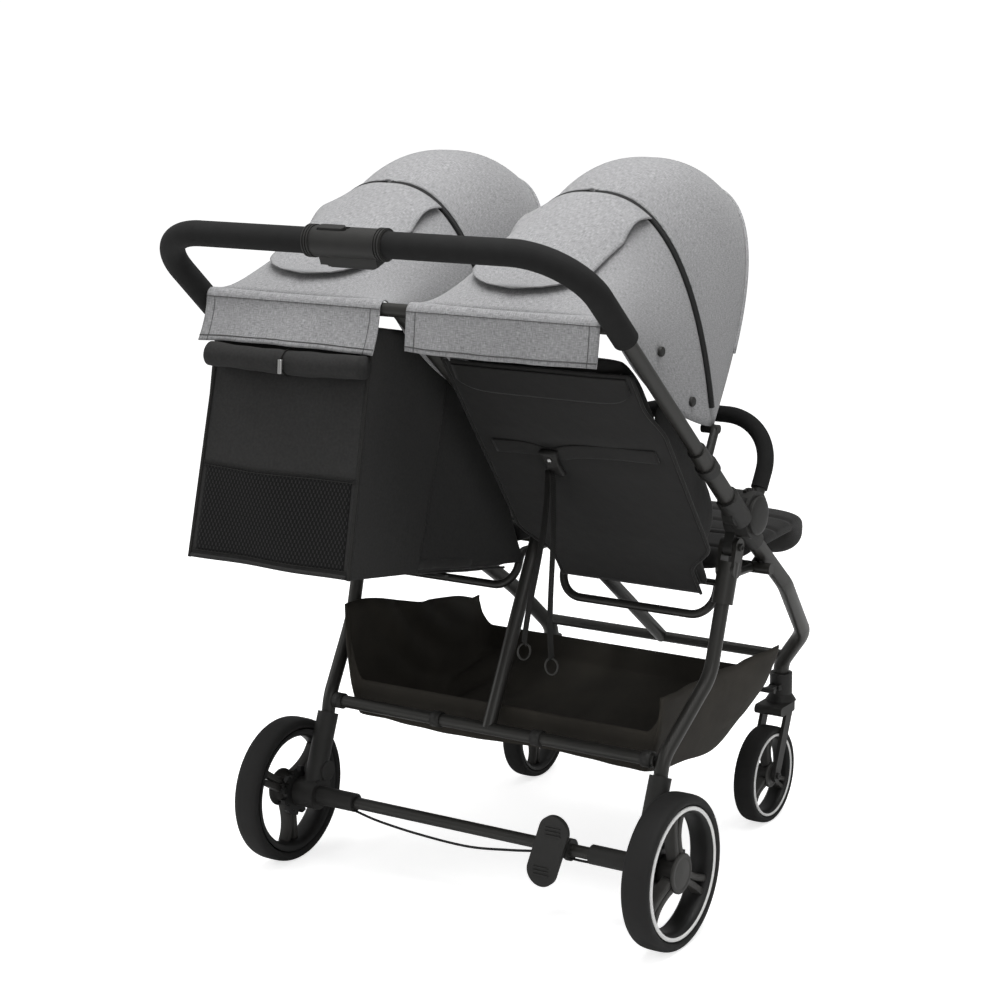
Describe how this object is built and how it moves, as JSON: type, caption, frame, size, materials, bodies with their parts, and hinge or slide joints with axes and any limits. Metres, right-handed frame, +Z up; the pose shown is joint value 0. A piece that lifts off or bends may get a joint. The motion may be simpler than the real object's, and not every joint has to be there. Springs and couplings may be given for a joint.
{
  "type": "twin pram",
  "caption": "Side-by-side double pushchair with a foldable tube frame, padded reclining seats, grey cloth hoods, swivelling front wheels, foot brake and shopping basket.",
  "frame": {"origin": "on the floor under the middle of the bounding box", "axes": "+Z up, +Y the way it is pushed, +X to the right of the person pushing"},
  "size_m": [0.75, 0.9399, 1.1347],
  "materials": {
    "tyre": "matt",
    "rim": "satin",
    "foam": "matt foam",
    "hood_cloth": "woven",
    "bow": "satin",
    "seat_cloth": "woven",
    "webbing": "woven tape",
    "frame_tube": "satin powder coat",
    "steel": "brushed",
    "fittings": "satin"
  },
  "bodies": {
    "chassis": {"front_hub_left": "fittings", "front_hub_right": "fittings", "front_leg_left": "frame_tube", "front_leg_right": "frame_tube", "caster_sockets": "fittings", "seat_frame": "frame_tube", "mid_hub": "fittings", "seat_pad_left": "seat_cloth", "seat_pad_right": "seat_cloth", "harness_buckles": "fittings", "basket": "seat_cloth"},
    "handle_frame": {"handle_tube": "frame_tube", "upper_hub_left": "fittings", "upper_hub_right": "fittings", "handle_grips": "foam", "fold_housing": "fittings", "hood_crossbar": "frame_tube", "mid_tube": "frame_tube", "hood_clips": "fittings", "hood_rear_left": "hood_cloth", "hood_rear_right": "hood_cloth"},
    "fold_trigger": {"fold_trigger": "fittings"},
    "fold_slider": {"fold_slider": "fittings"},
    "rear_frame": {"rear_leg_left": "frame_tube", "rear_leg_right": "frame_tube", "rear_cross_frame": "frame_tube", "rear_axle": "frame_tube", "wheel_housing_left": "fittings", "wheel_housing_right": "fittings", "brake_bracket": "fittings", "brake_cable": "webbing"},
    "brake_pedal": {"brake_pedal": "fittings"},
    "brake_pins": {"brake_pins": "steel"},
    "hood_mid_left": {"hood_mid_bow_left": "bow"},
    "hood_front_left": {"hood_front_bow_left": "bow", "hood_front_left": "hood_cloth"},
    "backrest_left": {"backrest_left": "seat_cloth", "webbing_left": "webbing", "vent_box_left": "seat_cloth"},
    "bumper_left": {"bumper_left": "foam"},
    "leg_rest_left": {"leg_rest_left": "seat_cloth"},
    "rear_wheel_left": {"rear_tyre_left": "tyre", "rear_rim_left": "rim"},
    "caster_left": {"front_fork_left": "fittings"},
    "front_wheel_left": {"front_tyre_left": "tyre", "front_rim_left": "rim"},
    "swivel_lock_left": {"swivel_lock_left": "fittings"},
    "hood_mid_right": {"hood_mid_bow_right": "bow"},
    "hood_front_right": {"hood_front_bow_right": "bow", "hood_front_right": "hood_cloth"},
    "backrest_right": {"backrest_right": "seat_cloth", "webbing_right": "webbing"},
    "bumper_right": {"bumper_right": "foam"},
    "leg_rest_right": {"leg_rest_right": "seat_cloth"},
    "rear_wheel_right": {"rear_tyre_right": "tyre", "rear_rim_right": "rim"},
    "caster_right": {"front_fork_right": "fittings"},
    "front_wheel_right": {"front_tyre_right": "tyre", "front_rim_right": "rim"},
    "swivel_lock_right": {"swivel_lock_right": "fittings"}
  },
  "joints": [
    {"name": "handle_fold", "type": "hinge", "parent": "chassis", "child": "handle_frame", "pos_m": [0, 0.066, 0.607], "axis": [-1, 0, 0], "range_deg": [0, 142], "deforming": ["hood_rear_left", "hood_rear_right"]},
    {"name": "rear_leg_fold", "type": "hinge", "parent": "chassis", "child": "rear_frame", "pos_m": [0, 0.045, 0.56], "axis": [1, 0, 0], "range_deg": [0, 40.5], "deforming": ["basket"]},
    {"name": "fold_trigger_squeeze", "type": "slide", "parent": "handle_frame", "child": "fold_trigger", "axis": [0, -0.342, 0.9397], "range_m": [0, 0.006], "stiffness_N_per_m": 600, "springref_m": -0.003},
    {"name": "fold_slider_push", "type": "slide", "parent": "handle_frame", "child": "fold_slider", "axis": [1, 0, 0], "range_m": [0, 0.006], "stiffness_N_per_m": 300, "springref_m": -0.002},
    {"name": "hood_mid_left", "type": "hinge", "parent": "handle_frame", "child": "hood_mid_left", "pos_m": [-0.18, -0.027, 0.752], "axis": [1, 0, 0], "range_deg": [0, 40.5]},
    {"name": "hood_open_left", "type": "hinge", "parent": "hood_mid_left", "child": "hood_front_left", "pos_m": [-0.18, -0.027, 0.752], "axis": [1, 0, 0], "range_deg": [0, 40], "deforming": ["hood_front_left"]},
    {"name": "recline_left", "type": "hinge", "parent": "chassis", "child": "backrest_left", "pos_m": [-0.177, 0.046, 0.5], "axis": [-1, 0, 0], "range_deg": [0, 44.2], "deforming": ["vent_box_left"]},
    {"name": "bumper_pull_left", "type": "slide", "parent": "chassis", "child": "bumper_left", "axis": [0, 0.5329, 0.8462], "range_m": [0, 0.04]},
    {"name": "leg_rest_left", "type": "hinge", "parent": "chassis", "child": "leg_rest_left", "pos_m": [-0.177, 0.208, 0.522], "axis": [1, 0, 0], "range_deg": [-60, 0]},
    {"name": "rear_wheel_spin_left", "type": "hinge", "parent": "rear_frame", "child": "rear_wheel_left", "pos_m": [-0.353, -0.168, 0.117], "axis": [1, 0, 0], "continuous": true},
    {"name": "caster_swivel_left", "type": "hinge", "parent": "chassis", "child": "caster_left", "pos_m": [-0.228, 0.444, 0.19], "axis": [0, 0, 1], "continuous": true},
    {"name": "front_wheel_spin_left", "type": "hinge", "parent": "caster_left", "child": "front_wheel_left", "pos_m": [-0.228, 0.385, 0.082], "axis": [1, 0, 0], "continuous": true},
    {"name": "swivel_lock_left", "type": "hinge", "parent": "chassis", "child": "swivel_lock_left", "pos_m": [-0.228, 0.42, 0.224], "axis": [1, 0, 0], "range_deg": [0, 18]},
    {"name": "hood_mid_right", "type": "hinge", "parent": "handle_frame", "child": "hood_mid_right", "pos_m": [0.18, -0.027, 0.752], "axis": [1, 0, 0], "range_deg": [0, 40.5]},
    {"name": "hood_open_right", "type": "hinge", "parent": "hood_mid_right", "child": "hood_front_right", "pos_m": [0.18, -0.027, 0.752], "axis": [1, 0, 0], "range_deg": [0, 40], "deforming": ["hood_front_right"]},
    {"name": "recline_right", "type": "hinge", "parent": "chassis", "child": "backrest_right", "pos_m": [0.177, 0.046, 0.5], "axis": [-1, 0, 0], "range_deg": [-44.2, 0]},
    {"name": "bumper_pull_right", "type": "slide", "parent": "chassis", "child": "bumper_right", "axis": [0, 0.5329, 0.8462], "range_m": [0, 0.04]},
    {"name": "leg_rest_right", "type": "hinge", "parent": "chassis", "child": "leg_rest_right", "pos_m": [0.177, 0.208, 0.522], "axis": [1, 0, 0], "range_deg": [-60, 0]},
    {"name": "rear_wheel_spin_right", "type": "hinge", "parent": "rear_frame", "child": "rear_wheel_right", "pos_m": [0.353, -0.168, 0.117], "axis": [1, 0, 0], "continuous": true},
    {"name": "caster_swivel_right", "type": "hinge", "parent": "chassis", "child": "caster_right", "pos_m": [0.228, 0.444, 0.19], "axis": [0, 0, 1], "continuous": true},
    {"name": "front_wheel_spin_right", "type": "hinge", "parent": "caster_right", "child": "front_wheel_right", "pos_m": [0.228, 0.385, 0.082], "axis": [1, 0, 0], "continuous": true},
    {"name": "swivel_lock_right", "type": "hinge", "parent": "chassis", "child": "swivel_lock_right", "pos_m": [0.228, 0.42, 0.224], "axis": [1, 0, 0], "range_deg": [0, 18]},
    {"name": "brake_press", "type": "hinge", "parent": "rear_frame", "child": "brake_pedal", "pos_m": [0.155, -0.168, 0.117], "axis": [-1, 0, 0], "range_deg": [0, 20]},
    {"name": "brake_pin_slide", "type": "slide", "parent": "rear_frame", "child": "brake_pins", "axis": [0, -1, 0], "range_m": [0, 0.0075]}
  ],
  "couplings": [
    {"joint": "rear_leg_fold", "follows": "handle_fold", "ratio": 0.2817},
    {"joint": "hood_mid_left", "follows": "handle_fold", "ratio": 0.2817},
    {"joint": "hood_mid_right", "follows": "handle_fold", "ratio": 0.2817},
    {"joint": "brake_pin_slide", "follows": "brake_press", "m_per_rad": 0.02}
  ]
}
